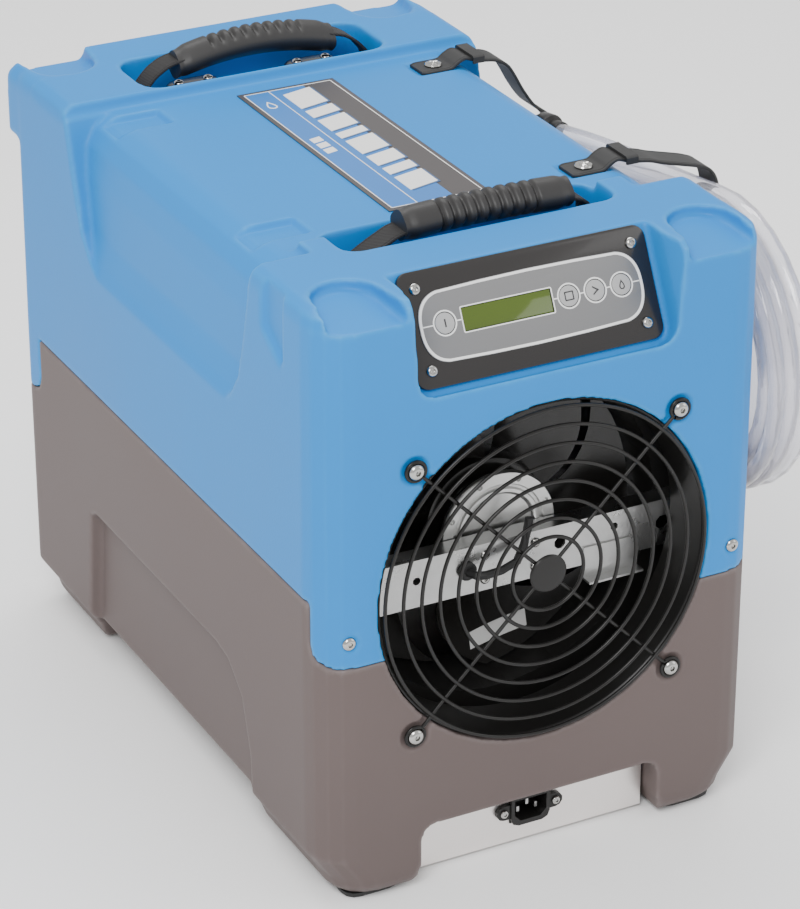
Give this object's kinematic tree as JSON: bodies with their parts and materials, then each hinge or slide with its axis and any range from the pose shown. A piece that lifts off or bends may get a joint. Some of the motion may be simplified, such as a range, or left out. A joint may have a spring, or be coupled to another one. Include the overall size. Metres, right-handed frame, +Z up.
{
  "type": "portable dehumidifier",
  "caption": "Portable refrigerant dehumidifier in a two-part moulded case, with a fan outlet and wire grille, sloped control panel, carrying handles and a side drain hose.",
  "frame": {"origin": "on the floor under the middle of the case", "axes": "+Z up, the fan outlet faces -Y, the hose hangs on the +X side"},
  "size_m": [0.3845, 0.5198, 0.4543],
  "materials": {
    "case_blue": "satin, fine moulded grain",
    "case_grey": "matt, fine moulded grain",
    "black_plastic": "satin moulded plastic",
    "gloss_black": "glossy moulded plastic",
    "black_rubber": "matt rubber",
    "webbing": "woven nylon webbing",
    "satin_steel": "plain satin sheet steel",
    "zinc": "zinc-plated steel",
    "stainless": "turned stainless steel",
    "overlay_grey": "printed polycarbonate film",
    "key_grey": "soft-touch key tops",
    "lcd_glass": "clear window over a green display",
    "label_film": "laminated vinyl film",
    "circuit": "green circuit board",
    "aluminium": "bare fins",
    "copper": "drawn copper tube",
    "black_enamel": "black powder coat",
    "core_plastic": "pale translucent plastic plates",
    "filter_media": "pleated filter paper",
    "clear_vinyl": "clear flexible vinyl",
    "white_plastic": "white moulded plastic"
  },
  "bodies": {
    "case": {"upper_shell": "case_blue", "lower_shell": "case_grey", "foot_pad_fl": "black_rubber", "foot_pad_fr": "black_rubber", "foot_pad_rl": "black_rubber", "foot_pad_rr": "black_rubber", "case_screw_l": "stainless", "case_screw_r": "stainless", "chassis_pan": "satin_steel", "mains_inlet": "black_plastic", "inlet_pins": "zinc", "inlet_screw_l": "stainless", "inlet_screw_r": "stainless", "fan_grille": "black_enamel", "grille_screw_tl": "stainless", "grille_screw_tr": "stainless", "grille_screw_bl": "stainless", "grille_screw_br": "stainless", "fan_bracket": "zinc", "fan_motor": "zinc", "fan_shroud": "black_plastic", "motor_cable": "black_rubber", "control_bezel": "gloss_black", "control_overlay": "overlay_grey", "lcd_window": "lcd_glass", "control_board": "circuit", "bezel_screw_tl": "stainless", "bezel_screw_tr": "stainless", "bezel_screw_bl": "stainless", "bezel_screw_br": "stainless", "deck_label": "label_film", "handle_cap_frontl": "gloss_black", "handle_cap_frontr": "gloss_black", "handle_cap_rearl": "gloss_black", "handle_cap_rearr": "gloss_black", "handle_strap_front": "webbing", "handle_strap_rear": "webbing", "hose_strap_front": "black_rubber", "hose_strap_rear": "black_rubber", "strap_rivet_front": "stainless", "strap_rivet_rear": "stainless", "drain_hose": "clear_vinyl", "intake_grille": "black_plastic", "evaporator": "aluminium", "condenser": "aluminium", "compressor": "black_enamel", "heat_exchanger": "core_plastic", "condensate_pump": "white_plastic", "discharge_pipe": "copper", "drain_outlet": "black_plastic"},
    "fan_rotor": {"fan_rotor": "black_plastic"},
    "key_power": {"key_power": "key_grey"},
    "key_set": {"key_set": "key_grey"},
    "key_next": {"key_next": "key_grey"},
    "key_pump": {"key_pump": "key_grey"},
    "handle_front": {"handle_grip_front": "black_rubber"},
    "handle_rear": {"handle_grip_rear": "black_rubber"},
    "filter": {"filter_frame": "black_plastic", "filter_media": "filter_media"}
  },
  "joints": [
    {"name": "fan_spin", "type": "hinge", "parent": "case", "child": "fan_rotor", "pos_m": [0, -0.1732, 0.218], "axis": [0, 1, 0], "continuous": true},
    {"name": "key_power_press", "type": "slide", "parent": "case", "child": "key_power", "axis": [0, 0.8902, -0.4555], "range_m": [0, 0.0005], "stiffness_N_per_m": 900},
    {"name": "key_set_press", "type": "slide", "parent": "case", "child": "key_set", "axis": [0, 0.8902, -0.4555], "range_m": [0, 0.0005], "stiffness_N_per_m": 900},
    {"name": "key_next_press", "type": "slide", "parent": "case", "child": "key_next", "axis": [0, 0.8902, -0.4555], "range_m": [0, 0.0005], "stiffness_N_per_m": 900},
    {"name": "key_pump_press", "type": "slide", "parent": "case", "child": "key_pump", "axis": [0, 0.8902, -0.4555], "range_m": [0, 0.0005], "stiffness_N_per_m": 900},
    {"name": "handle_front_swing", "type": "hinge", "parent": "case", "child": "handle_front", "pos_m": [0, -0.143, 0.3892], "axis": [1, 0, 0], "range_deg": [-14, 14], "deforming": ["handle_strap_front"]},
    {"name": "handle_rear_swing", "type": "hinge", "parent": "case", "child": "handle_rear", "pos_m": [0, 0.182, 0.4012], "axis": [1, 0, 0], "range_deg": [-20, 20], "deforming": ["handle_strap_rear"]},
    {"name": "filter_pull", "type": "slide", "parent": "case", "child": "filter", "axis": [0, 1, 0], "range_m": [0, 0.04]}
  ]
}
